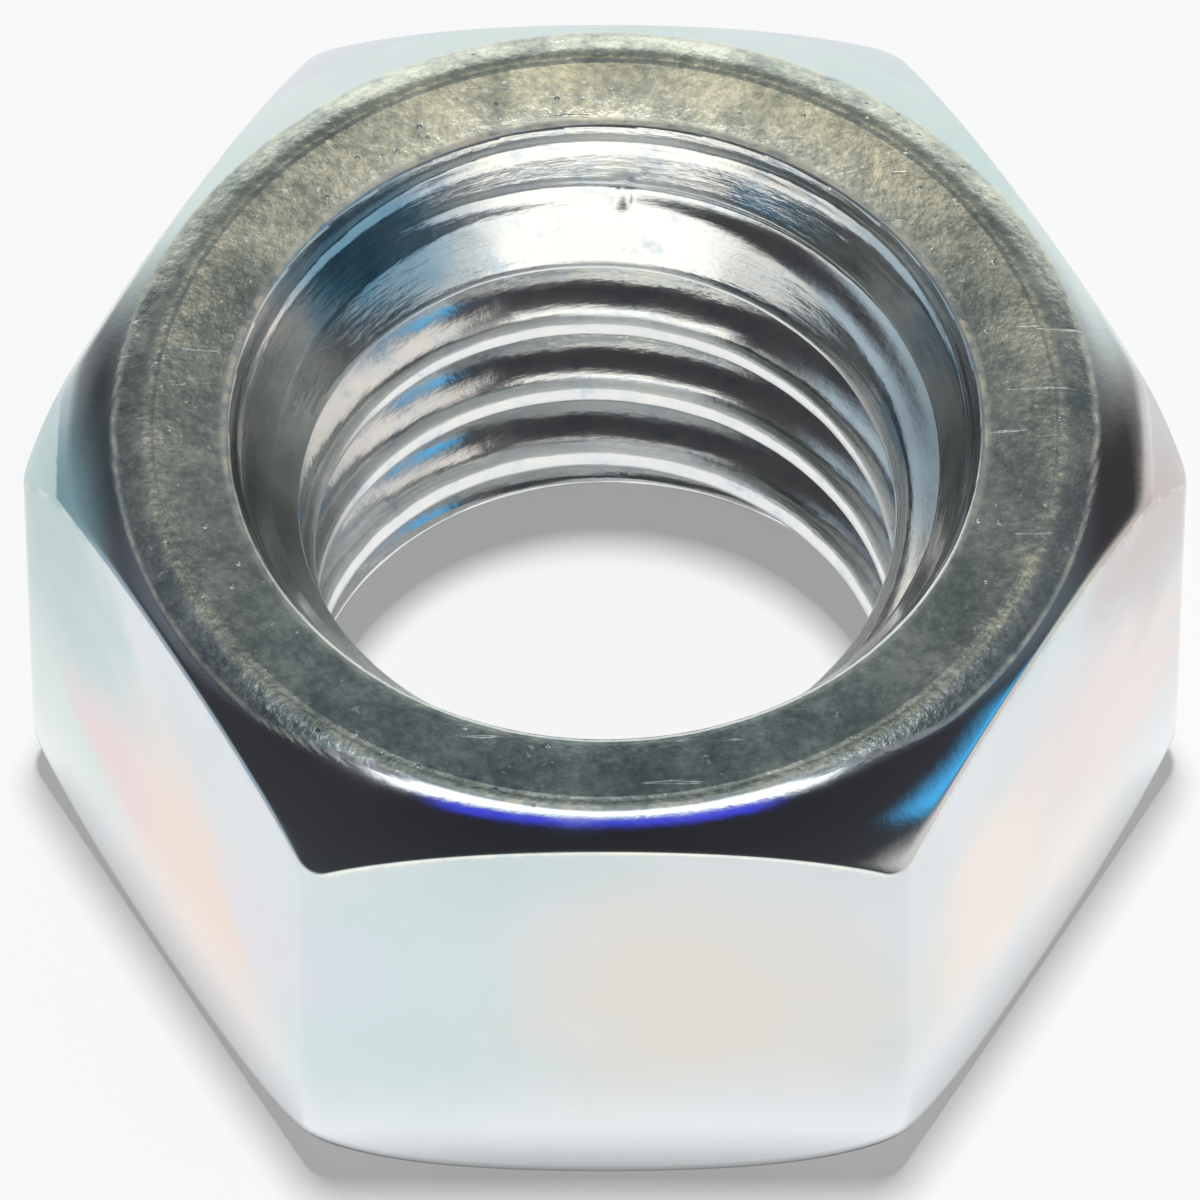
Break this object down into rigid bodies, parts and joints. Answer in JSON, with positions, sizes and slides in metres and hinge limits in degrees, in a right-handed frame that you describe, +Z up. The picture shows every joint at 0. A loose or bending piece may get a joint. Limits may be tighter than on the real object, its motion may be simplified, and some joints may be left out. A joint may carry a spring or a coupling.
{
  "type": "hex nut",
  "caption": "Zinc-plated hex nut with rounded-off ends, a coarse right-hand internal thread and a lead-in cone at each end.",
  "frame": {"origin": "centre of the lower bearing face, on the thread axis", "axes": "+Z up the thread axis towards the end with the wider lead-in cone, +X through a corner, +Y and -Y square to a pair of wrench flats"},
  "size_m": [0.016, 0.014, 0.0082],
  "materials": {
    "zinc_plated_steel": "clear passivated zinc plating, satin on the bearing faces and bright on the flats"
  },
  "bodies": {
    "root": {"nut_body": "zinc_plated_steel"}
  },
  "joints": []
}
